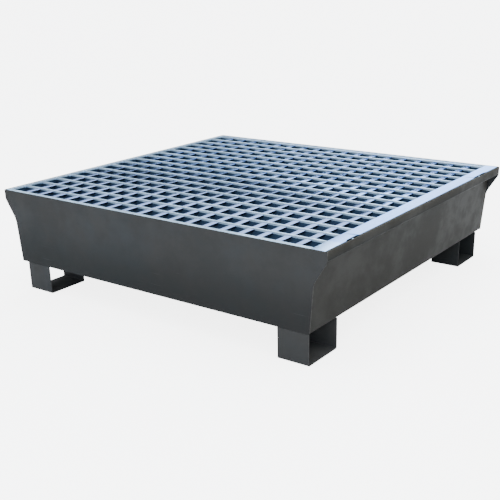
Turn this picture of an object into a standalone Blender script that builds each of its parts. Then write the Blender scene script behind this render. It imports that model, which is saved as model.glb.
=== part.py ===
"""Spill containment pallet: a folded steel sump tray on four channel feet, with a lift-out grating.

Metres, +Z up, origin on the ground under the middle of the pallet.
X runs along the front edge, Y from the front (-Y) to the rear (+Y).
"""
import math

import bmesh
import bpy
from mathutils import Vector

# ---- driving dimensions ---------------------------------------------------------------------
WIDTH = 1.340            # over the two rim lips, along X
DEPTH = 1.250            # over the two end plates, along Y
HEIGHT = 0.355           # ground to rim
FOOT_HEIGHT = 0.100      # ground to the underside of the tray, the fork clearance
SHEET = 0.003            # every tray and foot sheet
GAP = 0.0003             # clearance left between touching pieces

# side wall section: a leaning wall, a shelf folded outwards, an upright lip
WALL_FOOT_X = 0.6135     # outer face of the wall at the tray's underside
WALL_HEAD_X = 0.6320     # outer face of the wall under the shelf
LIP_HEIGHT = 0.031       # rim down to the underside of the shelf
BEND_RADIUS = 0.004      # at the middle of the sheet
BEND_STEPS = 5

# end plate ears, which close the ends of the shelf
EAR_FOOT_Z = 0.252       # where an ear leaves the wall line
EAR_FOOT_RADIUS = 0.060
EAR_HEAD_Z = 0.322       # where an ear meets the upright lip edge
EAR_HEAD_RADIUS = 0.025
RIM_CORNER_RADIUS = 0.003
ARC_STEPS = 8

# feet: channels bent from sheet, open towards +X and -X
FOOT_WIDTH = 0.109       # along X
FOOT_DEPTH = 0.156       # along Y
FOOT_RIGHT_INSET = 0.0   # from the tray's lower right edge
FOOT_LEFT_INSET = 0.030  # from the tray's lower left edge
FOOT_REAR_INSET = 0.049  # from the rear end plate

# grating
LIP_CLEARANCE = 0.003    # grating to lip, left and right
PLATE_CLEARANCE = 0.0015  # grating to end plate, front and rear
BAR_THICKNESS = 0.008
BAR_COUNT = 17
BAR_PITCH = 0.0707
FIRST_BAR_Y = -0.5382    # middle of the bearing bar nearest the front
FLAT_WIDTH = 0.020
FLAT_THICKNESS = 0.005
FLAT_RECESS = 0.0035     # top of the cross flats below the top of the grating
FLAT_COUNT = 18
FLAT_PITCH = 0.0673
FIRST_FLAT_X = -0.5843   # middle of the cross flat nearest the left
FRAME_SHEET = 0.003
FRONT_LEG = 0.015        # width of the front frame angle's top leg
RIGHT_LEG = 0.047        # width of the right frame angle's top leg
LEFT_FRAME = 0.008       # thickness of the left frame bar
REAR_FRAME = 0.005       # thickness of the rear frame bar

# ---- derived dimensions ---------------------------------------------------------------------
HALF_WIDTH = WIDTH / 2
HALF_DEPTH = DEPTH / 2
SHELF_TOP = HEIGHT - LIP_HEIGHT + SHEET
GRATING_TOP = HEIGHT - 0.0002
GRATING_BOTTOM = SHELF_TOP + GAP
GRATING_X = HALF_WIDTH - SHEET - LIP_CLEARANCE
GRATING_Y = HALF_DEPTH - SHEET - PLATE_CLEARANCE
LEG_UNDERSIDE = GRATING_TOP - FRAME_SHEET
FLAT_TOP = GRATING_TOP - FLAT_RECESS


# ---- modelling helpers ----------------------------------------------------------------------
def clear_scene():
    for obj in list(bpy.data.objects):
        bpy.data.objects.remove(obj, do_unlink=True)


def make_material(name, colour, metallic, roughness):
    material = bpy.data.materials.new(name)
    material.use_nodes = True
    shader = material.node_tree.nodes["Principled BSDF"]
    shader.inputs["Base Color"].default_value = (*colour, 1.0)
    shader.inputs["Metallic"].default_value = metallic
    shader.inputs["Roughness"].default_value = roughness
    return material


def turned(vector, angle):
    """A 2-D vector turned counter-clockwise."""
    c, s = math.cos(angle), math.sin(angle)
    return Vector((vector.x * c - vector.y * s, vector.x * s + vector.y * c))


def turn_between(before, after):
    """The signed angle from one 2-D direction to the next."""
    return math.atan2(before.x * after.y - before.y * after.x, before.dot(after))


def corner_arc(before, corner, after, radius, steps):
    """Points of the arc that rounds a corner, each with the path's left-hand normal there."""
    d0 = (corner - before).normalized()
    d1 = (after - corner).normalized()
    turn = turn_between(d0, d1)
    start = corner - d0 * (radius * math.tan(abs(turn) / 2))
    normal = Vector((-d0.y, d0.x))
    centre = start + normal * math.copysign(radius, turn)
    points = []
    for k in range(steps + 1):
        angle = turn * k / steps
        points.append((centre + turned(start - centre, angle), turned(normal, angle)))
    return points


def folded_outline(path, thickness, radius):
    """Closed outline of a sheet of even thickness folded along a path of mid-surface points."""
    path = [Vector(p) for p in path]
    stations = []
    for i, point in enumerate(path):
        if i in (0, len(path) - 1):
            neighbour = path[1] if i == 0 else path[-2]
            along = (neighbour - point) if i == 0 else (point - neighbour)
            along.normalize()
            stations.append((point, Vector((-along.y, along.x))))
        else:
            stations += corner_arc(path[i - 1], point, path[i + 1], radius, BEND_STEPS)
    left = [p + n * (thickness / 2) for p, n in stations]
    right = [p - n * (thickness / 2) for p, n in stations]
    return left + right[::-1]


def rounded_outline(corners):
    """Closed outline through corners given as (x, z, radius)."""
    points = []
    count = len(corners)
    for i, (x, z, radius) in enumerate(corners):
        corner = Vector((x, z))
        if radius == 0:
            points.append(corner)
            continue
        before = Vector(corners[i - 1][:2])
        after = Vector(corners[(i + 1) % count][:2])
        points += [p for p, _ in corner_arc(before, corner, after, radius, ARC_STEPS)]
    return points


def rectangle(a0, a1, b0, b1):
    return [(a0, b0), (a1, b0), (a1, b1), (a0, b1)]


def prism(name, outline, axis, start, end, holes=()):
    """A mesh of a flat outline pushed from start to end along X or Y, with holes through it."""
    def place(a, b):
        return (start, a, b) if axis == "X" else (a, start, b)

    bm = bmesh.new()
    edges = []
    for loop in [outline, *holes]:
        ring = [bm.verts.new(place(*point)) for point in loop]
        edges += [bm.edges.new((ring[i - 1], ring[i])) for i in range(len(ring))]
    bmesh.ops.triangle_fill(bm, edges=edges, use_beauty=True)
    push = (end - start, 0, 0) if axis == "X" else (0, end - start, 0)
    skin = bmesh.ops.extrude_face_region(bm, geom=bm.faces[:])
    moved = [item for item in skin["geom"] if isinstance(item, bmesh.types.BMVert)]
    bmesh.ops.translate(bm, verts=moved, vec=push)
    bmesh.ops.recalc_face_normals(bm, faces=bm.faces[:])
    mesh = bpy.data.meshes.new(name)
    bm.to_mesh(mesh)
    bm.free()
    return mesh


def add_piece(name, mesh, material, location=(0, 0, 0), parent=None):
    if not mesh.materials:
        mesh.materials.append(material)
    obj = bpy.data.objects.new(name, mesh)
    obj.location = location
    bpy.context.collection.objects.link(obj)
    if parent is not None:
        obj.parent = parent
        obj.location = Vector(location) - parent.location
    return obj


# ---- the welded tray ------------------------------------------------------------------------
def build_trough(material):
    """Floor, both side walls, both shelves and both lips, folded from one sheet."""
    half = SHEET / 2
    right = [
        (HALF_WIDTH - half, HEIGHT),
        (HALF_WIDTH - half, SHELF_TOP - half),
        (WALL_HEAD_X - half, SHELF_TOP - half),
        (WALL_FOOT_X - half, FOOT_HEIGHT + half),
    ]
    left = [(-x, z) for x, z in reversed(right)]
    outline = folded_outline(right + left, SHEET, BEND_RADIUS)
    reach = HALF_DEPTH - SHEET - GAP
    mesh = prism("tray_trough", outline, "Y", -reach, reach)
    add_piece("tray_trough", mesh, material)


def build_end_plates(material):
    """Flat plates welded over the trough's ends, with an ear at each upper corner."""
    lean = (WALL_HEAD_X - WALL_FOOT_X) / (SHELF_TOP - SHEET - FOOT_HEIGHT)
    ear_foot_x = WALL_FOOT_X + lean * (EAR_FOOT_Z - FOOT_HEIGHT)
    right = [
        (WALL_FOOT_X, FOOT_HEIGHT, 0),
        (ear_foot_x, EAR_FOOT_Z, EAR_FOOT_RADIUS),
        (HALF_WIDTH, EAR_HEAD_Z, EAR_HEAD_RADIUS),
        (HALF_WIDTH, HEIGHT, RIM_CORNER_RADIUS),
    ]
    left = [(-x, z, r) for x, z, r in reversed(right)]
    outline = rounded_outline(right + left)
    mesh = prism("end_plate", outline, "Y", -SHEET / 2, SHEET / 2)
    for name, side in (("end_plate_front", -1), ("end_plate_rear", 1)):
        add_piece(name, mesh, material, (0, side * (HALF_DEPTH - SHEET / 2), 0))


def build_feet(material):
    """Four bent channels welded under the tray, their open ends facing left and right."""
    half = SHEET / 2
    web = FOOT_DEPTH / 2 - half
    top = FOOT_HEIGHT - GAP
    path = [(-web, top), (-web, half), (web, half), (web, top)]
    outline = folded_outline(path, SHEET, BEND_RADIUS)
    mesh = prism("foot", outline, "X", -FOOT_WIDTH / 2, FOOT_WIDTH / 2)
    x_left = -WALL_FOOT_X + FOOT_LEFT_INSET + FOOT_WIDTH / 2
    x_right = WALL_FOOT_X - FOOT_RIGHT_INSET - FOOT_WIDTH / 2
    y_front = -HALF_DEPTH + FOOT_DEPTH / 2
    y_rear = HALF_DEPTH - FOOT_REAR_INSET - FOOT_DEPTH / 2
    for row, y in (("front", y_front), ("rear", y_rear)):
        for side, x in (("left", x_left), ("right", x_right)):
            add_piece(f"foot_{row}_{side}", mesh, material, (x, y, 0))


# ---- the lift-out grating -------------------------------------------------------------------
def flat_positions():
    return [FIRST_FLAT_X + i * FLAT_PITCH for i in range(FLAT_COUNT)]


def build_frame(material, parent):
    """Four frame pieces: angles at the front and right, bars on edge at the left and rear."""
    low, high = GRATING_BOTTOM, GRATING_TOP
    right_angle = [
        (GRATING_X, low),
        (GRATING_X, high),
        (GRATING_X - RIGHT_LEG, high),
        (GRATING_X - RIGHT_LEG, LEG_UNDERSIDE),
        (GRATING_X - FRAME_SHEET, LEG_UNDERSIDE),
        (GRATING_X - FRAME_SHEET, low),
    ]
    mesh = prism("grating_frame_right", right_angle, "Y", -GRATING_Y, GRATING_Y)
    add_piece("grating_frame_right", mesh, material, parent=parent)

    left_bar = rectangle(-GRATING_X, -GRATING_X + LEFT_FRAME, low, high)
    mesh = prism("grating_frame_left", left_bar, "Y", -GRATING_Y, GRATING_Y)
    add_piece("grating_frame_left", mesh, material, parent=parent)

    x0 = -GRATING_X + LEFT_FRAME + GAP
    x1 = GRATING_X - RIGHT_LEG - GAP
    front_angle = [
        (-GRATING_Y, low),
        (-GRATING_Y, high),
        (-GRATING_Y + FRONT_LEG, high),
        (-GRATING_Y + FRONT_LEG, LEG_UNDERSIDE),
        (-GRATING_Y + FRAME_SHEET, LEG_UNDERSIDE),
        (-GRATING_Y + FRAME_SHEET, low),
    ]
    mesh = prism("grating_frame_front", front_angle, "X", x0, x1)
    add_piece("grating_frame_front", mesh, material, parent=parent)

    rear_bar = rectangle(GRATING_Y - REAR_FRAME, GRATING_Y, low, high)
    mesh = prism("grating_frame_rear", rear_bar, "X", x0, x1)
    add_piece("grating_frame_rear", mesh, material, parent=parent)


def build_bearing_bars(material, parent):
    """Bars on edge along X, cut back under the right frame's wide leg and pierced for the flats."""
    x0 = -GRATING_X + LEFT_FRAME + GAP
    x1 = GRATING_X - RIGHT_LEG - GAP
    x2 = GRATING_X - FRAME_SHEET - GAP
    low, high = GRATING_BOTTOM, GRATING_TOP
    under_leg = LEG_UNDERSIDE - GAP
    outline = [(x0, low), (x2, low), (x2, under_leg), (x1, under_leg), (x1, high), (x0, high)]
    reach = FLAT_WIDTH / 2 + GAP
    bottom = FLAT_TOP - FLAT_THICKNESS - GAP
    windows = [rectangle(x - reach, x + reach, bottom, FLAT_TOP + GAP) for x in flat_positions()]
    mesh = prism("bearing_bar", outline, "Y", -BAR_THICKNESS / 2, BAR_THICKNESS / 2, windows)
    for i in range(BAR_COUNT):
        y = FIRST_BAR_Y + i * BAR_PITCH
        add_piece(f"bearing_bar_{i + 1:02d}", mesh, material, (0, y, 0), parent)


def build_cross_flats(material, parent):
    """Flat bars along Y, threaded through the windows of every bearing bar."""
    y0 = -GRATING_Y + FRAME_SHEET + GAP
    y1 = GRATING_Y - REAR_FRAME - GAP
    half = FLAT_WIDTH / 2
    outline = rectangle(-half, half, FLAT_TOP - FLAT_THICKNESS, FLAT_TOP)
    mesh = prism("cross_flat", outline, "Y", y0, y1)
    for i, x in enumerate(flat_positions()):
        add_piece(f"cross_flat_{i + 1:02d}", mesh, material, (x, 0, 0), parent)


def build_grating(material):
    lift = bpy.data.objects.new("grating_lift", None)
    lift.location = (0, 0, SHELF_TOP)
    bpy.context.collection.objects.link(lift)
    bpy.context.view_layer.update()
    build_frame(material, lift)
    build_bearing_bars(material, lift)
    build_cross_flats(material, lift)


def main():
    clear_scene()
    painted = make_material("painted_steel", (0.080, 0.088, 0.090), 0.0, 0.42)
    galvanised = make_material("galvanised_steel", (0.56, 0.62, 0.70), 0.85, 0.38)
    build_trough(painted)
    build_end_plates(painted)
    build_feet(painted)
    build_grating(galvanised)


main()
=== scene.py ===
# %% [markdown]
# # A spill containment pallet
#
# Drums stand on the grating, and what they leak runs through it into the steel sump below. The
# sump is one folded sheet closed by two end plates. It stands on four bent channels so that lift
# truck forks fit under it, and the galvanised grating lies loose in the folded rim.

import math

import bmesh
import bpy
from mathutils import Matrix, Vector, noise


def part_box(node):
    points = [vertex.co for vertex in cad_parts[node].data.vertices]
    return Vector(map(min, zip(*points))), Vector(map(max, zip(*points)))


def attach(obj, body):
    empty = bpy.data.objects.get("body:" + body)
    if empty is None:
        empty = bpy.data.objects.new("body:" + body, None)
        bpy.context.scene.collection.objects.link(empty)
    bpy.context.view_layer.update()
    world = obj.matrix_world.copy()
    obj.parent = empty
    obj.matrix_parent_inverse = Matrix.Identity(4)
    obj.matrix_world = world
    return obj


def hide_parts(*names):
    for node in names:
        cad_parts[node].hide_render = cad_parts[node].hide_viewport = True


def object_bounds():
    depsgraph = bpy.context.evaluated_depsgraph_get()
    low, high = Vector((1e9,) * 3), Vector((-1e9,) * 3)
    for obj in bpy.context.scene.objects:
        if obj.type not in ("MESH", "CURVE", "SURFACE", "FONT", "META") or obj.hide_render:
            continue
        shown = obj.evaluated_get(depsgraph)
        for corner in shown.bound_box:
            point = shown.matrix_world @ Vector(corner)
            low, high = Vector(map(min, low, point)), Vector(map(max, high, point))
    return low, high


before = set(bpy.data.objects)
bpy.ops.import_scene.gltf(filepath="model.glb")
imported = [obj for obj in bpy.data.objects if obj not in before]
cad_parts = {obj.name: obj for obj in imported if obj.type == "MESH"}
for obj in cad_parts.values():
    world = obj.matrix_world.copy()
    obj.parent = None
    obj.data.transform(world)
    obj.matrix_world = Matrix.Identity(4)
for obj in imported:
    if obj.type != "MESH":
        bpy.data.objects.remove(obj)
cad_low, cad_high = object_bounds()

# %% [markdown]
# ## Sizes
#
# Sizes that the CAD boxes give are read from them, so the two models can't drift apart.
# The others are the walls' lean and the sheet's bends, which a box doesn't show.

# %% Sizes
TROUGH_LOW, TROUGH_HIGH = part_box("tray_trough")
PLATE_LOW, PLATE_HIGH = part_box("end_plate_front")
SHEET = PLATE_HIGH.y - PLATE_LOW.y      # thickness of every tray sheet
RIM = TROUGH_HIGH.z                     # top of the rim
UNDERSIDE = TROUGH_LOW.z                # underside of the sump, the height of the fork way
HALF_WIDTH = TROUGH_HIGH.x
HALF_DEPTH = cad_high.y
WALL_FOOT = 0.6135                      # outer face of the side wall at the underside
WALL_HEAD = 0.6320                      # outer face of the side wall under its shelf
SHELF_UNDERSIDE = 0.324
BEND = 0.004                            # bend radius at the middle of the sheet
print("sheet", round(SHEET * 1000, 2), "mm, rim at", round(RIM * 1000), "mm")

# %% [markdown]
# ## Cuts across a mesh
#
# Every part of a pallet like this starts as flat sheet or bar. Bends, waves and stored wear need
# points to act on, and a bisect plane adds a loop of them without changing the shape.
# Subdividing would add points everywhere, so planes are set only where a piece needs them.


# %% Cuts across
def upright(axis):
    return Vector((axis == "X", axis == "Y", axis == "Z"))


def cut_across(bm, axis, places):
    """Adds a loop of edges where each plane across the axis meets the mesh."""
    for place in places:
        everything = bm.verts[:] + bm.edges[:] + bm.faces[:]
        plane = upright(axis)
        bmesh.ops.bisect_plane(bm, geom=everything, plane_co=plane * place, plane_no=plane)


def spread(start, end, step):
    """Evenly spaced places between two ends, about a step apart."""
    count = max(1, round((end - start) / step))
    return [start + (end - start) * i / count for i in range(1, count)]


print("cuts every 0.1 m over half a metre:", [round(place, 2) for place in spread(0, 0.5, 0.1)])

# %% [markdown]
# ## Folded sheet
#
# A press brake folds flat sheet along straight lines. The line that the middle of the sheet
# follows is drawn as a few points and extruded along the fold, which gives a skin with sharp
# folds. A bevel on each fold then rolls it to the radius that the press tool leaves.


# %% Folded sheet
def round_fold(bm, edge, radius, segments):
    """Rolls a fold to a radius. A bevel's offset is the arc's tangent length."""
    reach = radius * math.tan(edge.calc_face_angle() / 2)
    bmesh.ops.bevel(bm, geom=[edge], offset=reach, offset_type="OFFSET", affect="EDGES",
                    segments=segments, profile=0.5, material=-1)


def middle_of(edge):
    return (edge.verts[0].co + edge.verts[1].co) / 2


def folds_of(bm):
    return [edge for edge in bm.edges if len(edge.link_faces) == 2]


def folded_skin(path, axis, start, end, radius=BEND, segments=7):
    """A skin without thickness, folded along a path and run from start to end along X or Y."""
    bm = bmesh.new()
    if axis == "Y":
        points = [bm.verts.new((a, start, z)) for a, z in path]
    else:
        points = [bm.verts.new((start, a, z)) for a, z in path]
    line = [bm.edges.new(pair) for pair in zip(points, points[1:])]
    skin = bmesh.ops.extrude_edge_only(bm, edges=line)
    moved = [item for item in skin["geom"] if isinstance(item, bmesh.types.BMVert)]
    bmesh.ops.translate(bm, verts=moved, vec=upright(axis) * (end - start))
    for middle in [middle_of(edge) for edge in folds_of(bm)]:
        nearest = min(folds_of(bm), key=lambda edge: (middle_of(edge) - middle).length)
        round_fold(bm, nearest, radius, segments)
    return bm


print("folds are rolled to", BEND * 1000, "mm at the middle of the sheet")

# %% [markdown]
# ## From mesh to piece
#
# Solidify gives a skin its thickness, half to each side. A small bevel on every cut edge catches
# the light, as a real sheared edge does. Both are modifiers, because they act on the whole piece
# and the mesh stays light. The piece then rides on its body and stands for its CAD nodes.

# %% Finish a piece
BROKEN_EDGE = 0.0006                    # how far a sheared edge of the tray is broken


def finish_piece(name, bm, finish, body, nodes=(), thickness=0.0, edge=BROKEN_EDGE):
    """Makes the object, rides it on its body and lets it stand for its CAD nodes."""
    mesh = bpy.data.meshes.new(name)
    bm.to_mesh(mesh)
    bm.free()
    mesh.materials.append(finish)
    mesh.polygons.foreach_set("use_smooth", [True] * len(mesh.polygons))
    obj = bpy.data.objects.new(name, mesh)
    bpy.context.collection.objects.link(obj)
    if thickness:
        wall = obj.modifiers.new("sheet thickness", "SOLIDIFY")
        wall.thickness = thickness
        wall.offset = 0.0
        wall.use_even_offset = True
    if edge:
        bevel = obj.modifiers.new("broken edges", "BEVEL")
        bevel.width = edge
        bevel.segments = 2
        bevel.limit_method = "ANGLE"
        bevel.angle_limit = math.radians(40)
        bevel.harden_normals = True
    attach(obj, body)
    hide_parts(*nodes)
    return obj


print("tray edges are broken by", BROKEN_EDGE * 1000, "mm")

# %% [markdown]
# ## Values stored on a mesh
#
# Only the shape knows where its edges, lips and corners are. Each such fact is stored on the
# points as a named number, and a material reads it by that name. The other way is to paint it
# by hand, which would have to be done again after every change of shape.


# %% Stored values
def store(bm, name, value):
    """Stores a number on each point, for the materials to read as an attribute."""
    layer = bm.verts.layers.float.new(name)
    for vert in bm.verts:
        vert[layer] = value(vert)


def smooth_step(low, high, value):
    """0 below low and 1 above high, with a soft rise between them."""
    t = min(1.0, max(0.0, (value - low) / (high - low)))
    return t * t * (3 - 2 * t)


print("a quarter of the way up a soft step:", smooth_step(0.0, 1.0, 0.25))

# %% [markdown]
# ## Node helpers
#
# Both finishes need blotches, grain, worn edges and dust. Each effect is built once as a node
# group and gets its own values in each material. A group gives out only masks and normals, and
# the shader stays in the material. These helpers keep each node to one line.

# %% Node helpers
VECTOR, FLOAT = "NodeSocketVector", "NodeSocketFloat"


def new_group(name, inputs, outputs):
    group = bpy.data.node_groups.new(name, "ShaderNodeTree")
    for socket, kind, value in inputs:
        made = group.interface.new_socket(name=socket, in_out="INPUT", socket_type=kind)
        if value is not None:
            made.default_value = value
    for socket, kind in outputs:
        group.interface.new_socket(name=socket, in_out="OUTPUT", socket_type=kind)
    return group, group.nodes.new("NodeGroupInput"), group.nodes.new("NodeGroupOutput")


def add(tree, kind, label="", **values):
    """A node with its values set: names are properties first, then inputs with _ for a space."""
    node = tree.nodes.new(kind)
    node.label = label
    for key, value in values.items():
        if hasattr(node, key):
            setattr(node, key, value)
        else:
            node.inputs[key.replace("_", " ")].default_value = value
    return node


def remap(tree, source, low, high, to_low=0.0, to_high=1.0, label=""):
    """Stretches the range low to high over another range, softly, and clamps what is outside."""
    node = add(tree, "ShaderNodeMapRange", label, interpolation_type="SMOOTHSTEP")
    tree.links.new(source, node.inputs["Value"])
    for socket, value in zip(("From Min", "From Max", "To Min", "To Max"),
                             (low, high, to_low, to_high)):
        node.inputs[socket].default_value = value
    return node.outputs["Result"]


def math_node(tree, operation, a, b):
    node = add(tree, "ShaderNodeMath", operation=operation)
    for socket, value in zip(node.inputs, (a, b)):
        if isinstance(value, (int, float)):
            socket.default_value = value
        else:
            tree.links.new(value, socket)
    return node.outputs[0]


def noise_of(tree, label, detail, roughness, vector, size):
    """Noise at a place and a size. Its values lie around a half."""
    node = add(tree, "ShaderNodeTexNoise", label, Detail=detail, Roughness=roughness)
    tree.links.new(vector, node.inputs["Vector"])
    tree.links.new(size, node.inputs["Scale"])
    return node.outputs[0]


print("group sockets are", VECTOR, "and", FLOAT)

# %% [markdown]
# ## Blotches
#
# Rolled or sprayed steel is cloudy at two sizes at once: broad clouds and a finer mottle in them.
# Two noises are added, and the sum is stretched so that it runs all the way from 0 to 1.

# %% Blotches
MOTTLE_FINER = 7.3                      # times finer than the clouds
CLOUD_SHARE, MOTTLE_SHARE = 0.65, 0.35


def blotches_group():
    group, given, result = new_group(
        "blotches", [("Vector", VECTOR, None), ("Size", FLOAT, 6.0)], [("Value", FLOAT)])
    place, size = given.outputs["Vector"], given.outputs["Size"]
    finer = math_node(group, "MULTIPLY", size, MOTTLE_FINER)
    clouds = noise_of(group, "clouds", 4.0, 0.55, place, size)
    mottle = noise_of(group, "mottle", 3.0, 0.6, place, finer)
    total = math_node(group, "ADD", math_node(group, "MULTIPLY", mottle, MOTTLE_SHARE),
                      math_node(group, "MULTIPLY", clouds, CLOUD_SHARE))
    group.links.new(remap(group, total, 0.36, 0.64), result.inputs["Value"])
    return group


BLOTCHES = blotches_group()
print("group:", BLOTCHES.name)

# %% [markdown]
# ## Fine grain
#
# Paint dries with an orange peel and zinc freezes with a frost, both a few hundredths of a
# millimetre deep. That is too fine for geometry, so a bump node makes it, as a normal.


# %% Fine grain
def grain_group():
    group, given, result = new_group(
        "fine grain",
        [("Vector", VECTOR, None), ("Size", FLOAT, 400.0), ("Depth", FLOAT, 0.0001)],
        [("Normal", VECTOR)])
    grain = noise_of(group, "grain", 2.0, 0.5, given.outputs["Vector"], given.outputs["Size"])
    bump = add(group, "ShaderNodeBump", "raise the grain", Strength=1.0)
    group.links.new(given.outputs["Depth"], bump.inputs["Distance"])
    group.links.new(grain, bump.inputs["Height"])
    group.links.new(bump.outputs["Normal"], result.inputs["Normal"])
    return group


GRAIN = grain_group()
print("group:", GRAIN.name)

# %% [markdown]
# ## Edge wear
#
# An edge is never rubbed evenly. Noise is added to the stored wear and the sum is cut off high,
# so full wear still leaves chips of paint, and half wear shows only here and there.


# %% Edge wear
def wear_group():
    group, given, result = new_group(
        "edge wear",
        [("Vector", VECTOR, None), ("Wear", FLOAT, 0.0), ("Size", FLOAT, 45.0)],
        [("Value", FLOAT)])
    chips = noise_of(group, "chips", 5.0, 0.65, given.outputs["Vector"], given.outputs["Size"])
    lifted = math_node(group, "ADD", given.outputs["Wear"], chips)
    group.links.new(remap(group, lifted, 0.85, 1.55), result.inputs["Value"])
    return group


WEAR = wear_group()
print("group:", WEAR.name)

# %% [markdown]
# ## Settled dust
#
# Dust lies where a face looks up, in drifts. The normal's Z tells which way a face looks, and
# noise thins the dust so that it never lies as an even coat.


# %% Settled dust
def dust_group():
    group, given, result = new_group(
        "settled dust", [("Vector", VECTOR, None), ("Size", FLOAT, 9.0)], [("Value", FLOAT)])
    facing = add(group, "ShaderNodeNewGeometry")
    parts = add(group, "ShaderNodeSeparateXYZ")
    group.links.new(facing.outputs["Normal"], parts.inputs[0])
    drifts = noise_of(group, "drifts", 5.0, 0.6, given.outputs["Vector"], given.outputs["Size"])
    up = remap(group, parts.outputs["Z"], 0.55, 0.95)
    loose = remap(group, drifts, 0.35, 0.7, 0.25, 1.0)
    group.links.new(math_node(group, "MULTIPLY", up, loose), result.inputs["Value"])
    return group


DUST = dust_group()
print("group:", DUST.name)

# %% [markdown]
# ## Level scuffs
#
# Fork tines and drum rims leave thin level scratches that come and go. Noise squeezed along one
# direction gives the lines, and a second, unsqueezed noise says where there are any.

# %% Level scuffs
SCUFF_THINNESS = (1.0, 1.0, 70.0)       # how much finer the lines are in height than in length


def scuffs_group():
    group, given, result = new_group(
        "level scuffs",
        [("Vector", VECTOR, None), ("Size", FLOAT, 5.0), ("Thinness", VECTOR, SCUFF_THINNESS)],
        [("Value", FLOAT)])
    place, size = given.outputs["Vector"], given.outputs["Size"]
    squeeze = add(group, "ShaderNodeVectorMath", "squeeze into lines", operation="MULTIPLY")
    group.links.new(place, squeeze.inputs[0])
    group.links.new(given.outputs["Thinness"], squeeze.inputs[1])
    lines = noise_of(group, "lines", 3.0, 0.6, squeeze.outputs[0], size)
    patches = noise_of(group, "patches", 2.0, 0.5, place, size)
    thin = remap(group, lines, 0.66, 0.76)
    here = remap(group, patches, 0.50, 0.66)
    group.links.new(math_node(group, "MULTIPLY", thin, here), result.inputs["Value"])
    return group


SCUFFS = scuffs_group()
print("groups:", [group.name for group in bpy.data.node_groups])

# %% [markdown]
# ## Material helpers
#
# A finish starts from a Principled shader and the Object coordinates, which stay with a piece
# when its body moves. A group is placed in it with its own values, and colours are laid over each
# other one at a time, each through its own mask, in the order in which the real thing got them.


# %% Material helpers
def new_finish(name, slot):
    material = bpy.data.materials.new(name)
    material["slot"] = slot
    material.use_nodes = True
    tree = material.node_tree
    place = add(tree, "ShaderNodeTexCoord").outputs["Object"]
    return material, tree, tree.nodes["Principled BSDF"], place


def stored(tree, name):
    return add(tree, "ShaderNodeAttribute", attribute_name=name).outputs["Fac"]


def use_group(tree, group, place, **values):
    node = add(tree, "ShaderNodeGroup", group.name, node_tree=group)
    tree.links.new(place, node.inputs["Vector"])
    for key, value in values.items():
        socket = node.inputs[key.replace("_", " ")]
        if isinstance(value, (int, float)):
            socket.default_value = value
        else:
            tree.links.new(value, socket)
    return node.outputs[0]


def blend_colours(tree, mask, first, second, label=""):
    node = add(tree, "ShaderNodeMix", label, data_type="RGBA")
    tree.links.new(mask, node.inputs["Factor"])
    for socket, value in ((node.inputs[6], first), (node.inputs[7], second)):
        if isinstance(value, tuple):
            socket.default_value = (*value, 1.0)
        else:
            tree.links.new(value, socket)
    return node.outputs[2]


print("effects to place in a finish:", len(bpy.data.node_groups))

# %% [markdown]
# ## Dark grey paint
#
# The tray is sprayed a dark satin grey. A sprayed panel is never one grey: it is cloudy, browner
# where the primer shows through, greener where the coat is thick, and rubbed lighter along cut
# edges and ground welds. The walls are painted darker towards the bottom, as painted shade, and
# near black under the lip's fold and on the rear feet, as painted shadow. The trough is painted
# browner than the end plates, as painted warm light on its side wall, and browner still on the
# lip and along the weld trace. Height comes from Object coordinates, and how worn, stained,
# tinted or shaded a spot is comes from values stored on the mesh. The clouds drive the roughness
# too, so the gloss breaks up with the colour.

# %% Painted steel
THIN_COAT = (0.0315, 0.0345, 0.037), (0.034, 0.0335, 0.033)         # greener, browner
# painted shade: darker copies of the coat's two tones, for the lower walls
LOW_SHADE_COAT = (0.0145, 0.0168, 0.0176), (0.0178, 0.0175, 0.0173)     # greener, browner
UNEVEN_SPRAY = (0.020, 0.0215, 0.0215)
# brown of the weld trace and the lip, and painted warm light over the rest of the trough
BROWN_STAIN_AND_WARM_TINT = (0.0215, 0.0195, 0.0145)
# painted shadow: near black, for the fold under the lip and the rear feet
PAINTED_SHADOW_COLOUR = (0.003, 0.004, 0.0035)
RUBBED_STEEL = (0.075, 0.073, 0.070)
SCUFFED_PAINT = (0.085, 0.084, 0.080)
PALE_DUST = (0.08, 0.079, 0.074)
LOW_SHADE_FROM, LOW_SHADE_FULL = 0.31, 0.11     # heights between which the walls are painted darker, as painted shade
PAINT_ROUGHNESS = 0.38, 0.52


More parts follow.
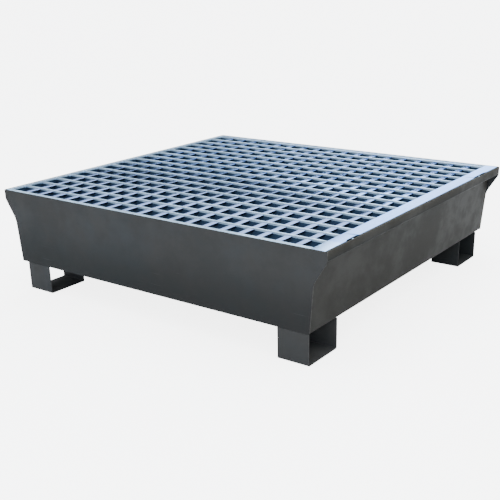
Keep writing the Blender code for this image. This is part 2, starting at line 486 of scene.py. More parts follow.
def make_paint():
    finish, tree, shader, place = new_finish("satin_paint", "painted_steel")
    cloud = use_group(tree, BLOTCHES, place, Size=3.2)
    patch = use_group(tree, BLOTCHES, place, Size=2.1)
    rubbed = use_group(tree, WEAR, place, Wear=stored(tree, "wear"), Size=60.0)
    dusty = math_node(tree, "MULTIPLY", use_group(tree, DUST, place, Size=11.0), 0.35)
    scuffed = math_node(tree, "MULTIPLY", use_group(tree, SCUFFS, place), 0.55)
    thinner = math_node(tree, "MULTIPLY", cloud, 0.3)
    height = add(tree, "ShaderNodeSeparateXYZ")
    tree.links.new(place, height.inputs[0])
    # painted shade: the walls and end plates are painted darker towards the bottom
    low_wall = remap(tree, height.outputs["Z"], LOW_SHADE_FROM, LOW_SHADE_FULL, label="dirtier low down")
    on_sump = remap(tree, height.outputs["Z"], UNDERSIDE - 0.002, UNDERSIDE + 0.002)
    grime = math_node(tree, "MULTIPLY", low_wall, on_sump)
    thin = blend_colours(tree, patch, *THIN_COAT, "thin coat")
    shaded_coat = blend_colours(tree, patch, *LOW_SHADE_COAT, "grimy coat")
    colour = blend_colours(tree, grime, thin, shaded_coat, "grime")
    for mask, over, label in ((thinner, UNEVEN_SPRAY, "uneven spray"),
                              (stored(tree, "stain"), BROWN_STAIN_AND_WARM_TINT, "brown stain"),
                              (stored(tree, "soot"), PAINTED_SHADOW_COLOUR, "sheltered dirt"),
                              (rubbed, RUBBED_STEEL, "rubbed edge"),
                              (scuffed, SCUFFED_PAINT, "scuff"),
                              (dusty, PALE_DUST, "dust")):
        colour = blend_colours(tree, mask, colour, over, label)
    tree.links.new(colour, shader.inputs["Base Color"])
    gloss = remap(tree, cloud, 0.0, 1.0, *PAINT_ROUGHNESS)
    rough = math_node(tree, "ADD", gloss, math_node(tree, "MULTIPLY", dusty, 0.6))
    tree.links.new(rough, shader.inputs["Roughness"])
    orange_peel = use_group(tree, GRAIN, place, Size=520.0, Depth=0.00007)
    tree.links.new(orange_peel, shader.inputs["Normal"])
    shader.inputs["Specular IOR Level"].default_value = 0.07
    return finish


PAINT = make_paint()
print("finish:", PAINT.name, "with", len(PAINT.node_tree.nodes), "nodes")

# %% [markdown]
# ## Galvanised zinc
#
# The grating is hot-dip galvanised: zinc freezes into dull blue-grey patches called spangle, and
# is greyer where it was ground or handled. A Voronoi texture gives each patch its own tone. The
# bars on edge came out duller than flat rolled faces, which mirror their surroundings, so the
# finish comes in two settings: one for the bars, and one for the flats and the wide right leg.

# %% Galvanised steel
SHADE_UNDER_TOPS = (0.022, 0.046, 0.092)      # painted shade just below the tops
LESS_SHADE_LOW_DOWN = (0.075, 0.125, 0.215)      # painted shade deeper down, a little less dark
GROUND_WELD = (0.40, 0.53, 0.70)
ZINC_TINT = (0.56, 0.73, 1.0, 1.0)
SPANGLE_SIZE = 115.0
SPANGLE_SHARE, CLOUD_IN_ZINC = 0.55, 0.45
DARKEST_SPANGLE = 0.70                  # of the lightest one's tone


def make_zinc(name, metal, rough, tone, frost):
    finish, tree, shader, place = new_finish(name, "galvanised_steel")
    spangle = add(tree, "ShaderNodeTexVoronoi", "spangle", Scale=SPANGLE_SIZE)
    tree.links.new(place, spangle.inputs["Vector"])
    patch = add(tree, "ShaderNodeSeparateColor")
    tree.links.new(spangle.outputs["Color"], patch.inputs[0])
    cloud = use_group(tree, BLOTCHES, place, Size=7.0)
    rubbed = use_group(tree, WEAR, place, Wear=stored(tree, "wear"), Size=90.0)
    depth = stored(tree, "depth")
    mixed = math_node(tree, "ADD", math_node(tree, "MULTIPLY", patch.outputs[0], SPANGLE_SHARE),
                      math_node(tree, "MULTIPLY", cloud, CLOUD_IN_ZINC))
    darkest = tuple(channel * DARKEST_SPANGLE for channel in tone)
    base = blend_colours(tree, mixed, darkest, tone, "spangle tone")
    ground = blend_colours(tree, rubbed, base, GROUND_WELD, "ground weld")
    # painted shade: below the tops the sides are darkened by the stored depth, a little less dark
    # further down
    sides = blend_colours(tree, depth, ground, SHADE_UNDER_TOPS, "unrubbed sides")
    lower = math_node(tree, "SUBTRACT", depth, 1.0)
    whole = blend_colours(tree, lower, sides, LESS_SHADE_LOW_DOWN, "cleaner zinc low down")
    tree.links.new(whole, shader.inputs["Base Color"])
    tree.links.new(remap(tree, mixed, 0.0, 1.0, rough, rough + 0.12), shader.inputs["Roughness"])
    shader.inputs["Metallic"].default_value = metal
    shader.inputs["Specular Tint"].default_value = ZINC_TINT
    tree.links.new(use_group(tree, GRAIN, place, Size=300.0, Depth=frost),
                   shader.inputs["Normal"])
    return finish


ZINC_BAR = make_zinc("zinc_on_edge", 0.38, 0.32, (0.56, 0.77, 1.0), 0.00010)
ZINC_FLAT = make_zinc("zinc_rolled_flat", 0.96, 0.14, (0.30, 0.41, 0.69), 0.00004)
print("finishes:", PAINT.name, ZINC_BAR.name, ZINC_FLAT.name)

# %% [markdown]
# ## The sump trough
#
# One sheet makes the floor, both leaning walls, both shelves and both lips. It is drawn as the
# line that the middle of the sheet follows, run along the pallet, and rolled at each fold. Thin
# sheet is never quite flat, so the wide panels get a slow wave of about a millimetre. The weld
# inside the rear end shows through as a thin browner line, and the fold under the lip is painted
# near black, as painted shadow.

# %% Trough
PANEL_WAVE = 0.0012                     # deepest swing of a wide panel
WAVES_PER_METRE = 4.0
WELD_TRACE = 0.032                      # how far from the rear end the inner weld shows through
TRACE_HALF = 0.002
END_RING = 0.010                        # the wear's ring of points along a cut end


def trough_path():
    """Half the path is at the right, from lip to floor, and the other half mirrors it."""
    half = SHEET / 2
    right = [(HALF_WIDTH - half, RIM), (HALF_WIDTH - half, SHELF_UNDERSIDE + half),
             (WALL_HEAD - half, SHELF_UNDERSIDE + half), (WALL_FOOT - half, UNDERSIDE + half)]
    return right + [(-x, z) for x, z in reversed(right)]


def wave_panels(bm, reach):
    """Moves points along their normals by slow noise, held still where panels are joined."""
    bm.normal_update()
    for vert in bm.verts:
        co = vert.co
        ends = smooth_step(0.0, 0.12, reach - abs(co.y))
        wall = smooth_step(UNDERSIDE + 0.01, 0.17, co.z) * smooth_step(0.0, 0.05, 0.318 - co.z)
        floor = smooth_step(0.0, 0.10, WALL_FOOT - abs(co.x)) * (co.z < UNDERSIDE + 0.01)
        swing = noise.noise(co * WAVES_PER_METRE + Vector((3.0, 3.0, 3.0)))
        vert.co += vert.normal * (PANEL_WAVE * swing * (ends * max(wall, floor)))


def build_trough():
    reach = TROUGH_HIGH.y
    trace = reach - WELD_TRACE
    bm = folded_skin(trough_path(), "Y", -reach, reach)
    cut_across(bm, "Y", [END_RING - reach,
                         *spread(END_RING - reach, trace - TRACE_HALF - 0.01, 0.05),
                         trace - TRACE_HALF, trace, trace + TRACE_HALF, reach - END_RING])
    cut_across(bm, "Z", [RIM - 0.005, *spread(UNDERSIDE + 0.01, SHELF_UNDERSIDE - 0.006, 0.05)])
    cut_across(bm, "X", spread(0.01 - WALL_FOOT, WALL_FOOT - 0.01, 0.06))
    wave_panels(bm, reach)

    def worn(vert):
        on_end, on_lip = abs(vert.co.y) > reach - 0.001, vert.co.z > RIM - 0.001
        return max(0.75 * on_end, 0.55 * on_lip)

    # the weld trace and the lip get the full brown; the rest of the trough gets 0.6 of it, as
    # painted warm light on the side wall
    def stain(vert):
        on_lip = vert.co.z > SHELF_UNDERSIDE + 0.002 and abs(vert.co.x) > WALL_HEAD
        return 1.0 if on_lip or abs(vert.co.y - trace) < 0.001 else 0.6

    # painted shadow: near black along the fold under the lip
    def soot(vert):
        at_fold = abs(vert.co.x) > WALL_HEAD and vert.co.z < SHELF_UNDERSIDE + 0.0065
        return 0.8 if at_fold else 0.0

    store(bm, "wear", worn)
    store(bm, "stain", stain)
    store(bm, "soot", soot)
    return finish_piece("folded_trough", bm, PAINT, "tray", ["tray_trough"], SHEET)


trough = build_trough()
print("trough faces before its modifiers:", len(trough.data.polygons))

# %% [markdown]
# ## End plates
#
# Each end is closed by a flat plate. Its upper corners flare out as ears to close the ends of the
# shelves. The plate starts as one face through its few corners, and a vertex bevel turns each ear
# corner into an arc. An inset ring along the cut edge holds the wear. Welding pulls a plate in, so
# its middle is dished by up to two millimetres.

# %% End plates
EAR_CORNERS = ((0.252, 0.060), (0.322, 0.025))      # height and radius of the two ear bends
RIM_CORNER = 0.003
WEAR_RING = 0.009
DISH = 0.0022                           # how far the welds pull a plate's middle in


def corner(vert):
    """The inner angle between a corner's two edges."""
    a, b = [edge.other_vert(vert).co - vert.co for edge in vert.link_edges]
    return a.angle(b)


def plate_corners():
    """The corners at the right, each with its height and radius, and their mirror images."""
    lean = (WALL_HEAD - WALL_FOOT) / (SHELF_UNDERSIDE - UNDERSIDE)
    ear_foot = WALL_FOOT + lean * (EAR_CORNERS[0][0] - UNDERSIDE)
    right = [(WALL_FOOT, UNDERSIDE, 0.0), (ear_foot, *EAR_CORNERS[0]),
             (HALF_WIDTH, *EAR_CORNERS[1]), (HALF_WIDTH, RIM, RIM_CORNER)]
    return right + [(-x, z, radius) for x, z, radius in reversed(right)]


def dish_plate(bm, side):
    for vert in bm.verts:
        co = vert.co
        hold = (smooth_step(0.012, 0.10, co.z - UNDERSIDE) * smooth_step(0.012, 0.08, RIM - co.z)
                * smooth_step(0.012, 0.12, WALL_FOOT - abs(co.x)))
        swing = noise.noise(co * WAVES_PER_METRE + Vector((side * 5.0, 0, 0)))
        vert.co.y -= side * DISH * (0.5 + 0.5 * swing) * hold


def build_end_plate(side, name, node):
    corners = plate_corners()
    middle = side * (HALF_DEPTH - SHEET / 2)
    bm = bmesh.new()
    ring = [bm.verts.new((x, middle, z)) for x, z, radius in corners]
    bm.faces.new(ring)
    for vert, (x, z, radius) in zip(ring, corners):
        if radius:
            reach = radius * math.tan((math.pi - corner(vert)) / 2)
            bmesh.ops.bevel(bm, geom=[vert], offset=reach, offset_type="OFFSET",
                            affect="VERTICES", segments=14, profile=0.5, material=-1)
    outline = set(bm.verts)
    bmesh.ops.inset_region(bm, faces=bm.faces[:], thickness=WEAR_RING, use_even_offset=True)
    store(bm, "wear", lambda vert: 1.0 if vert in outline else 0.0)
    cut_across(bm, "X", spread(0.01 - HALF_WIDTH, HALF_WIDTH - 0.01, 0.06))
    cut_across(bm, "Z", spread(UNDERSIDE + 0.012, RIM - 0.012, 0.05))
    bm.normal_update()
    dish_plate(bm, side)
    if bm.faces[:][0].normal.y * side < 0:
        bmesh.ops.reverse_faces(bm, faces=bm.faces[:])
    return finish_piece(name, bm, PAINT, "tray", [node], SHEET)


front_plate = build_end_plate(-1, "front_plate", "end_plate_front")
rear_plate = build_end_plate(1, "rear_plate", "end_plate_rear")
print("plate faces before modifiers:", len(front_plate.data.polygons))

# %% [markdown]
# ## Feet
#
# A foot is a strip bent into a channel and welded under the floor, open to the left and right.
# The same folded skin makes it. Its cut ends are rubbed by the forks, and the rear feet, which
# stand in the tray's shade, are painted darker, as painted shade.

# %% Feet
FEET = ("foot_front_left", "foot_front_right", "foot_rear_left", "foot_rear_right")
REAR_FEET_SHADE = 0.40


def build_foot(name):
    low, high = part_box(name)
    half = SHEET / 2
    path = [(low.y + half, high.z), (low.y + half, low.z + half),
            (high.y - half, low.z + half), (high.y - half, high.z)]
    bm = folded_skin(path, "X", low.x, high.x)
    cut_across(bm, "X", [low.x + 0.006, high.x - 0.006])
    cut_across(bm, "Z", [low.z + 0.02, high.z - 0.02])
    store(bm, "wear", lambda vert: 0.6 * (min(vert.co.x - low.x, high.x - vert.co.x) < 0.001))
    # painted shade: the rear feet, under the tray, are darkened
    store(bm, "soot", lambda vert: REAR_FEET_SHADE if vert.co.y > 0 else 0.0)
    return finish_piece(f"channel_{name}", bm, PAINT, "tray", [name], SHEET)


for foot in FEET:
    build_foot(foot)
print("feet:", len(FEET))

# %% [markdown]
# ## Welds under the feet
#
# A bead is a row of ripples, one for each pause of the welder's hand, with rounded ends. A thin
# cylinder along the joint is cut into rings, and each ring is swollen or pinched in turn. Only
# the part that stands out of the corner is seen, so the rod simply runs along the joint.

# %% Weld beads
BEAD_BASE, BEAD_RIPPLE, BEAD_UNEVEN = 0.86, 0.10, 0.14      # shares of the bead's radius
BEAD_TIP = 0.45                                             # how far its ends shrink
FOOT_BEAD = 0.0030


def add_bead(bm, start, end, radius, ripple=0.005, sides=8):
    """A bead along a straight joint: a thin rod whose rings swell and pinch in turn."""
    start, end = Vector(start), Vector(end)
    length = (end - start).length
    rod = bmesh.new()
    bmesh.ops.create_cone(rod, cap_ends=True, segments=sides, radius1=radius, radius2=radius,
                          depth=length)
    cut_across(rod, "Z", spread(-length / 2, length / 2, ripple / 2))
    for vert in rod.verts:
        beat = math.cos(vert.co.z * 2 * math.pi / ripple)
        uneven = noise.noise(Vector((vert.co.z * 60, start.x * 9, start.y * 9)))
        swell = BEAD_BASE + BEAD_RIPPLE * beat + BEAD_UNEVEN * uneven
        tip = smooth_step(0.0, radius, length / 2 - abs(vert.co.z))
        scale = swell * (BEAD_TIP + (1 - BEAD_TIP) * tip)
        vert.co.x *= scale
        vert.co.y *= scale
    turn = (end - start).to_track_quat("Z", "Y").to_matrix().to_4x4()
    bmesh.ops.transform(rod, matrix=Matrix.Translation((start + end) / 2) @ turn, verts=rod.verts)
    mesh = bpy.data.meshes.new("bead")
    rod.to_mesh(mesh)
    rod.free()
    bm.from_mesh(mesh)
    bpy.data.meshes.remove(mesh)


def build_foot_welds():
    bm = bmesh.new()
    for foot in FEET:
        low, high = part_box(foot)
        top = high.z - 0.0006
        for y in (low.y + SHEET, high.y - SHEET, high.y, low.y):
            if abs(y) < HALF_DEPTH - 0.01:
                add_bead(bm, (low.x + 0.004, y, top), (high.x - 0.004, y, top), FOOT_BEAD)
    store(bm, "wear", lambda vert: 0.35)
    return finish_piece("foot_welds", bm, PAINT, "tray", edge=0.0)


foot_welds = build_foot_welds()
print("foot weld faces:", len(foot_welds.data.polygons))

# %% [markdown]
# ## Welds inside the end plates
#
# The sump has to hold liquid, so a bead runs along the whole joint inside: across the floor and
# up both walls at each end.

# %% Inner welds
INNER_BEAD, INNER_RIPPLE = 0.0035, 0.006


def build_inner_welds():
    bm = bmesh.new()
    inside = WALL_FOOT - SHEET
    floor = UNDERSIDE + SHEET
    for side in (-1, 1):
        y = side * (TROUGH_HIGH.y - 0.0005)
        add_bead(bm, (0.006 - inside, y, floor), (inside - 0.006, y, floor), INNER_BEAD,
                 INNER_RIPPLE)
        for flip in (-1, 1):
            foot = (flip * inside, y, floor + 0.004)
            head = (flip * (WALL_HEAD - SHEET), y, SHELF_UNDERSIDE + SHEET)
            add_bead(bm, foot, head, INNER_BEAD, INNER_RIPPLE)
    store(bm, "wear", lambda vert: 0.2)
    return finish_piece("plate_welds", bm, PAINT, "tray", edge=0.0)


plate_welds = build_inner_welds()
print("inner weld faces:", len(plate_welds.data.polygons))

# %% [markdown]
# ## Painted shade with depth
#
# The grating's tops keep the zinc's own tone. Their sides are painted darker from a few
# millimetres down, as painted shade between the bars, and a little less dark again further down.
# Each point stores how deep it lies, and two cuts bound the change, so that it happens over two
# millimetres instead of over the whole side of a bar.

# %% Depth below the tops
LEG_LOW, LEG_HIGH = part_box("grating_frame_right")
GRATING_TOP = LEG_HIGH.z
SHADE_START_DEPTH, FULL_SHADE_DEPTH = 0.0055, 0.0075
CUT_BELOW = 0.0076                      # the lower cut lies a little past the change


def depth_stage(below):
    """0 on the top, 1 in the painted shade just below it, and up to 2 where that shade is less
    dark low down.
    """
    return smooth_step(SHADE_START_DEPTH, FULL_SHADE_DEPTH, below) + smooth_step(0.009, 0.026, below)


def store_depth(bm, top):
    store(bm, "depth", lambda vert: depth_stage(top - vert.co.z))


print("the grime is full", FULL_SHADE_DEPTH * 1000, "mm below the top:", depth_stage(FULL_SHADE_DEPTH))

# %% [markdown]
# ## The frame's wide right leg
#
# The grating is framed by an angle at the front, a wide angle at the right and bars on edge at
# the other two sides. Near its ends the wide angle stands back from the lip, where fingers or a
# hook can get hold of it. Its outer edge is painted dark, as painted shade in the gap beside the
# lip, and its near corner is a ground weld.

# %% Right leg
FRAME_SHEET = 0.003
FRAME_BEND = 0.0026
FRAME_EDGE = 0.0004
NOTCHES = ((-0.508, -0.441), (0.400, 0.508))        # lengths along Y where it stands back
NOTCH_DEPTH = 0.0055
NOTCH_RISE = 0.012                                  # half the length over which it moves back
DARK_EDGE = 0.0028
GROUND_FROM, GROUND_TO = 0.08, 0.11                 # how far the ground corner reaches


def push_notches_in(bm, outer_face):
    for vert in bm.verts:
        along = vert.co.y
        inward = sum(smooth_step(start - NOTCH_RISE, start + NOTCH_RISE, along)
                     * smooth_step(-end - NOTCH_RISE, -end + NOTCH_RISE, -along)
                     for start, end in NOTCHES)
        outer = smooth_step(outer_face - 0.012, outer_face - 0.004, vert.co.x)
        vert.co.x -= NOTCH_DEPTH * inward * outer


def build_right_leg():
    low, high = LEG_LOW, LEG_HIGH
    half = FRAME_SHEET / 2
    path = [(high.x - half, low.z), (high.x - half, high.z - half), (low.x, high.z - half)]
    bm = folded_skin(path, "Y", low.y, high.y, FRAME_BEND, segments=5)
    bends = [end + offset for notch in NOTCHES for end in notch
             for offset in (-NOTCH_RISE, 0.0, NOTCH_RISE)]
    cut_across(bm, "Y", bends + spread(low.y, high.y, 0.08))
    cut_across(bm, "Z", [high.z - CUT_BELOW, high.z - SHADE_START_DEPTH])
    push_notches_in(bm, high.x)

    def depth(vert):
        inward = NOTCH_DEPTH * any(start < vert.co.y < end for start, end in NOTCHES)
        # painted shade: the outer edge beside the lip gets the darkest depth value
        on_edge = vert.co.x > high.x - inward - DARK_EDGE
        return 1.0 if on_edge else depth_stage(high.z - vert.co.z)

    store(bm, "depth", depth)
    store(bm, "wear", lambda vert: 1.0 - smooth_step(GROUND_FROM, GROUND_TO, vert.co.y - low.y))
    return finish_piece("frame_right", bm, ZINC_FLAT, "grating", ["grating_frame_right"],
                        FRAME_SHEET, FRAME_EDGE)


right_leg = build_right_leg()
print("right leg faces before its modifiers:", len(right_leg.data.polygons))

# %% [markdown]
# ## The frame's other sides
#
# The front angle is narrow and folded like the wide one. The left and rear sides are plain bars
# on edge, so a cube is stretched between two corners and its long edges are rounded, as rolling
# leaves them.


# %% Front angle and edge bars
def build_front_leg():
    low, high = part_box("grating_frame_front")
    half = FRAME_SHEET / 2
    path = [(low.y + half, low.z), (low.y + half, high.z - half), (high.y, high.z - half)]
    bm = folded_skin(path, "X", low.x, high.x, FRAME_BEND, segments=5)
    cut_across(bm, "X", spread(low.x, high.x, 0.08))
    cut_across(bm, "Z", [high.z - CUT_BELOW, high.z - SHADE_START_DEPTH])
    store_depth(bm, high.z)
    store(bm, "wear", lambda vert: 0.6 * smooth_step(high.x - 0.05, high.x, vert.co.x))
    return finish_piece("frame_front", bm, ZINC_BAR, "grating", ["grating_frame_front"],
                        FRAME_SHEET, FRAME_EDGE)


def solid_bar(low, high, cuts, rounding):
    """A rectangular bar between two corners, cut across its depth, with its long edges round."""
    bm = bmesh.new()
    bmesh.ops.create_cube(bm, size=1.0)
    size = high - low
    bmesh.ops.scale(bm, vec=size, verts=bm.verts)
    bmesh.ops.translate(bm, vec=(low + high) / 2, verts=bm.verts)
    along = upright("X" if size.x > size.y else "Y")
    run = [edge for edge in bm.edges
           if abs((edge.verts[0].co - edge.verts[1].co).dot(along)) > 0.1]
    bmesh.ops.bevel(bm, geom=run, offset=rounding, offset_type="OFFSET", affect="EDGES",
                    segments=3, profile=0.5, material=-1)
    cut_across(bm, "Z", cuts)
    return bm


def build_edge_bar(node, name):
    low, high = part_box(node)
    bm = solid_bar(low, high, [high.z - CUT_BELOW, high.z - SHADE_START_DEPTH], 0.0009)
    store_depth(bm, high.z)
    return finish_piece(name, bm, ZINC_BAR, "grating", [node], edge=0.0003)


build_front_leg()
build_edge_bar("grating_frame_left", "frame_left")
build_edge_bar("grating_frame_rear", "frame_rear")
print("frame top at", round(GRATING_TOP * 1000, 1), "mm")

# %% [markdown]
# ## Cross flats
#
# Eighteen flats run from front to rear, threaded through the bearing bars a little below their
# tops. Their upper faces keep the zinc's tone, and their edges are painted darker from a
# millimetre down, as painted shade.

# %% Cross flats
BARS = sorted(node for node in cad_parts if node.startswith("bearing_bar"))
FLATS = sorted(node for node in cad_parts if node.startswith("cross_flat"))
FLAT_LOW, FLAT_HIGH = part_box(FLATS[0])
FLAT_TOP, FLAT_UNDERSIDE = FLAT_HIGH.z, FLAT_LOW.z


def build_flat(node):
    low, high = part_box(node)
    bm = solid_bar(low, high, [], 0.0008)
    # painted shade: the flat's edges darken from a millimetre below its top
    store(bm, "depth", lambda vert: smooth_step(0.0009, 0.004, high.z - vert.co.z))
    return finish_piece(node.replace("cross_flat", "flat"), bm, ZINC_FLAT, "grating", [node],
                        edge=0.0)


for node in FLATS:
    build_flat(node)
print("flats:", len(FLATS), "each", [round(s * 1000, 1) for s in FLAT_HIGH - FLAT_LOW], "mm")

# %% [markdown]
# ## Bearing bars
#
# The bars stand on edge from side to side, and each has a window where a flat passes through it.
# A boolean could cut the windows, but leaves ragged meshes. A bar starts instead as one upright
# face that planes cut at every window's sides, sill and head. The window faces are taken out,
# and the rest is pushed out to the bar's thickness.

# %% Bearing bars
GAP = 0.0003                            # clearance around a flat and under the frame's leg
CROWN = 0.0009                          # rounding of a bar's top edges


def upright_face(low, high):
    """One face across a bar, from end to end and from foot to top."""
    bm = bmesh.new()
    bmesh.ops.create_grid(bm, x_segments=1, y_segments=1, size=0.5)
    tip_up = Matrix.Rotation(math.pi / 2, 3, "X")
    bmesh.ops.rotate(bm, verts=bm.verts, cent=(0, 0, 0), matrix=tip_up)
    bmesh.ops.scale(bm, vec=(high.x - low.x, 1, high.z - low.z), verts=bm.verts)
    middle = Vector(((low.x + high.x) / 2, low.y, (low.z + high.z) / 2))
    bmesh.ops.translate(bm, vec=middle, verts=bm.verts)
    return bm


def cut_windows(bm, low, high):
    """Takes out a window for each flat, and the step that clears the frame's right leg."""
    windows = [(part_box(flat)[0].x - GAP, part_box(flat)[1].x + GAP) for flat in FLATS]
    sill, head = FLAT_UNDERSIDE - GAP, FLAT_TOP + GAP
    leg_edge, leg_under = LEG_LOW.x - GAP, LEG_HIGH.z - FRAME_SHEET - GAP
    cut_across(bm, "X", [side for window in windows for side in window] + [leg_edge])
    cut_across(bm, "Z", [sill, head, leg_under, high.z - SHADE_START_DEPTH, high.z - CUT_BELOW,
                         *spread(low.z, sill, 0.006)])

    def gone(face):
        co = face.calc_center_median()
        in_window = sill < co.z < head and any(a < co.x < b for a, b in windows)
        return in_window or (co.x > leg_edge and co.z > leg_under)

    bmesh.ops.delete(bm, geom=[face for face in bm.faces if gone(face)], context="FACES")


def build_bar(node):
    low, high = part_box(node)
    bm = upright_face(low, high)
    cut_windows(bm, low, high)
    skin = bmesh.ops.extrude_face_region(bm, geom=bm.faces[:])
    moved = [item for item in skin["geom"] if isinstance(item, bmesh.types.BMVert)]
    bmesh.ops.translate(bm, verts=moved, vec=(0, high.y - low.y, 0))
    bmesh.ops.recalc_face_normals(bm, faces=bm.faces[:])
    crown = [edge for edge in bm.edges
             if all(vert.co.z > high.z - 1e-5 for vert in edge.verts)
             and abs(edge.verts[0].co.y - edge.verts[1].co.y) < 1e-6]
    bmesh.ops.bevel(bm, geom=crown, offset=CROWN, offset_type="OFFSET", affect="EDGES",
                    segments=2, profile=0.5, material=-1)
    store_depth(bm, high.z)
    return finish_piece(node.replace("bearing_", ""), bm, ZINC_BAR, "grating", [node], edge=0.0)


for node in BARS:
    build_bar(node)
print("bearing bars:", len(BARS))

# %% [markdown]
# ## Welds of the grating
#
# Each bar is tacked to the left frame bar on both of its sides, and each flat to the front and
# rear of the frame. There are dozens of these, so every bead has only a few rings and sides.

# %% Grating welds
TACK, TACK_RIPPLE, TACK_SIDES = 0.0019, 0.009, 6
TACK_INSET = 0.0005


def build_grating_welds():
    bm = bmesh.new()
    for node in BARS:
        low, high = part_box(node)
        x = low.x + TACK_INSET
        for y in (low.y, high.y):
            add_bead(bm, (x, y, low.z + 0.003), (x, y, high.z - 0.0008), TACK, TACK_RIPPLE,
                     TACK_SIDES)
    for node in FLATS:
        low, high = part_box(node)
        for y in (low.y + TACK_INSET, high.y - TACK_INSET):
            add_bead(bm, (low.x + 0.002, y, high.z), (high.x - 0.002, y, high.z), TACK,
                     TACK_RIPPLE, TACK_SIDES)
    store_depth(bm, GRATING_TOP)
    return finish_piece("grating_welds", bm, ZINC_BAR, "grating", edge=0.0)


grating_welds = build_grating_welds()
print("grating weld faces:", len(grating_welds.data.polygons))

# %% [markdown]
# ## Floor
#
# The pallet stands on a plain floor that should look almost white without lighting the pallet's
# underside too brightly. A glow that only the camera sees lifts the floor's own shade, and the
# soft contact shadow stays, because light still falls on the floor as on any other surface.

# %% Floor
FLOOR_GLOW = 4.5


def build_floor():
    mesh = bpy.data.meshes.new("floor")
    bm = bmesh.new()
    bmesh.ops.create_grid(bm, x_segments=1, y_segments=1, size=60)
    bm.to_mesh(mesh)
    bm.free()
    material = bpy.data.materials.new("studio_floor")
    material.use_nodes = True
    tree = material.node_tree
    shader = tree.nodes["Principled BSDF"]
    shader.inputs["Base Color"].default_value = (0.88, 0.88, 0.88, 1)
    shader.inputs["Roughness"].default_value = 0.9
    shader.inputs["Specular IOR Level"].default_value = 0.1
    shader.inputs["Emission Color"].default_value = (1, 1, 1, 1)
    seen = add(tree, "ShaderNodeLightPath").outputs["Is Camera Ray"]
    tree.links.new(math_node(tree, "MULTIPLY", seen, FLOOR_GLOW),
                   shader.inputs["Emission Strength"])
    mesh.materials.append(material)
    obj = bpy.data.objects.new("floor", mesh)
    bpy.context.collection.objects.link(obj)
    return obj


floor = build_floor()
print("floor:", [round(side) for side in floor.dimensions[:2]], "m")

# %% [markdown]
# ## Surroundings
#
# Zinc looks like whatever it mirrors, so the surroundings matter as much as the lamps. The sky is
# bright overhead. A glow low behind the pallet brightens the flats at the right, and a dark
# screen beside it leaves the flats at the left dull. The backdrop is pale to the camera only.

# %% Surroundings
SKY, GLOW, DIM, BACKDROP = 3.2, 6.0, 0.12, 6.0
SKY_FROM, SKY_FULL = 0.40, 0.85                     # as the Z of a direction
GLOW_CENTRE, GLOW_REACH = (-0.30, 0.93, 0.28), (32, 15)
SCREEN_CENTRE, SCREEN_REACH = (-0.81, 0.47, 0.34), (30, 25)
SCREEN_SHARE = 0.97                                 # of the light that the screen takes away
SKY_COLOUR = (0.93, 0.965, 1.0, 1)


def near_direction(tree, direction, centre, reach):
    """1 within the smaller number of degrees of a direction, and 0 from the larger one."""
    far, near = (math.cos(math.radians(degrees)) for degrees in reach)
    towards = add(tree, "ShaderNodeVectorMath", operation="DOT_PRODUCT")
    tree.links.new(direction, towards.inputs[0])
    towards.inputs[1].default_value = Vector(centre).normalized()
    return remap(tree, towards.outputs["Value"], far, near)


def build_world():
    world = bpy.data.worlds.new("studio")
    world.use_nodes = True
    tree = world.node_tree
    direction = add(tree, "ShaderNodeTexCoord").outputs["Generated"]
    parts = add(tree, "ShaderNodeSeparateXYZ")
    tree.links.new(direction, parts.inputs[0])
    above = remap(tree, parts.outputs["Z"], SKY_FROM, SKY_FULL, 0.0, SKY)
    glow = near_direction(tree, direction, GLOW_CENTRE, GLOW_REACH)
    screen = near_direction(tree, direction, SCREEN_CENTRE, SCREEN_REACH)
    bright = math_node(tree, "ADD", above, math_node(tree, "MULTIPLY", glow, GLOW))
    taken = math_node(tree, "MULTIPLY", screen, SCREEN_SHARE)
    light = math_node(tree, "MULTIPLY", bright, math_node(tree, "SUBTRACT", 1.0, taken))
    seen = add(tree, "ShaderNodeLightPath").outputs["Is Camera Ray"]
    strength = math_node(tree, "MAXIMUM", math_node(tree, "ADD", light, DIM),
                         math_node(tree, "MULTIPLY", seen, BACKDROP))
    background = tree.nodes["Background"]
    background.inputs["Color"].default_value = SKY_COLOUR
    tree.links.new(strength, background.inputs["Strength"])
    bpy.context.scene.world = world
    return world


print("world:", build_world().name)

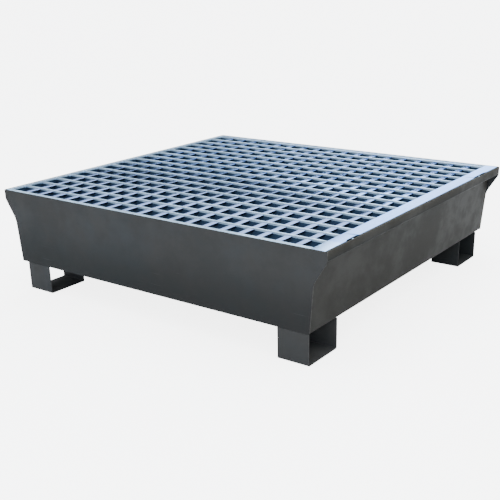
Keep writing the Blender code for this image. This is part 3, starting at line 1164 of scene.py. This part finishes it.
# %% [markdown]
# ## Lights
#
# Three soft panels: a large one in front lights the front plate and the side wall, a weak one at
# the left fills, and a small warm one at the right gives the side wall its browner grey. The
# first two are kept out of mirror reflections, so that they don't show in the zinc.


# %% Lights
def soft_light(name, place, aim, width, height, watts, colour, mirrored):
    light = bpy.data.lights.new(name, "AREA")
    light.shape = "RECTANGLE"
    light.size, light.size_y = width, height
    light.energy = watts
    light.color = colour
    obj = bpy.data.objects.new(name, light)
    bpy.context.collection.objects.link(obj)
    obj.location = place
    obj.rotation_euler = (Vector(aim) - Vector(place)).to_track_quat("-Z", "Y").to_euler()
    obj.visible_camera = False
    obj.visible_glossy = mirrored
    return obj


lights = [
    soft_light("right_panel", (2.4, 1.7, 1.0), (0.6, 0.4, 0.2), 1.2, 1.2, 3,
               (1.0, 0.86, 0.66), True),
    soft_light("left_panel", (-1.9, -2.2, 1.3), (-0.4, -0.6, 0.3), 1.2, 1.2, 6.5,
               (0.88, 0.94, 1.0), False),
    soft_light("front_panel", (1.8, -3.4, 1.5), (0.0, 0.0, 0.25), 3.0, 1.8, 115,
               (0.84, 0.92, 1.0), False)]
print("lights:", [f"{light.name} {light.data.energy:g} W" for light in lights])

# %% [markdown]
# ## Camera
#
# The camera stands at the front right and looks down on the pallet. It is turned about Z, tipped
# from straight down, and rolled by a degree. A small lens shift places the pallet in the frame.

# %% Camera
CAMERA_PLACE = (1.784, -2.448, 1.049)
CAMERA_TURN, CAMERA_DOWN, CAMERA_ROLL = 35.84, 20.89, -1.0      # degrees

camera = bpy.data.cameras.new("camera")
camera.sensor_width = 36
camera.lens = 60.3
camera.shift_x, camera.shift_y = -0.032, 0.090
camera_object = bpy.data.objects.new("camera", camera)
bpy.context.collection.objects.link(camera_object)
turn = Matrix.Rotation(math.radians(CAMERA_TURN), 4, "Z")
tip = Matrix.Rotation(math.radians(90 - CAMERA_DOWN), 4, "X")
roll = Matrix.Rotation(math.radians(CAMERA_ROLL), 4, "Z")
camera_object.matrix_world = Matrix.Translation(CAMERA_PLACE) @ turn @ tip @ roll
bpy.context.scene.camera = camera_object
print("camera:", camera.lens, "mm lens,", CAMERA_DOWN, "degrees down")
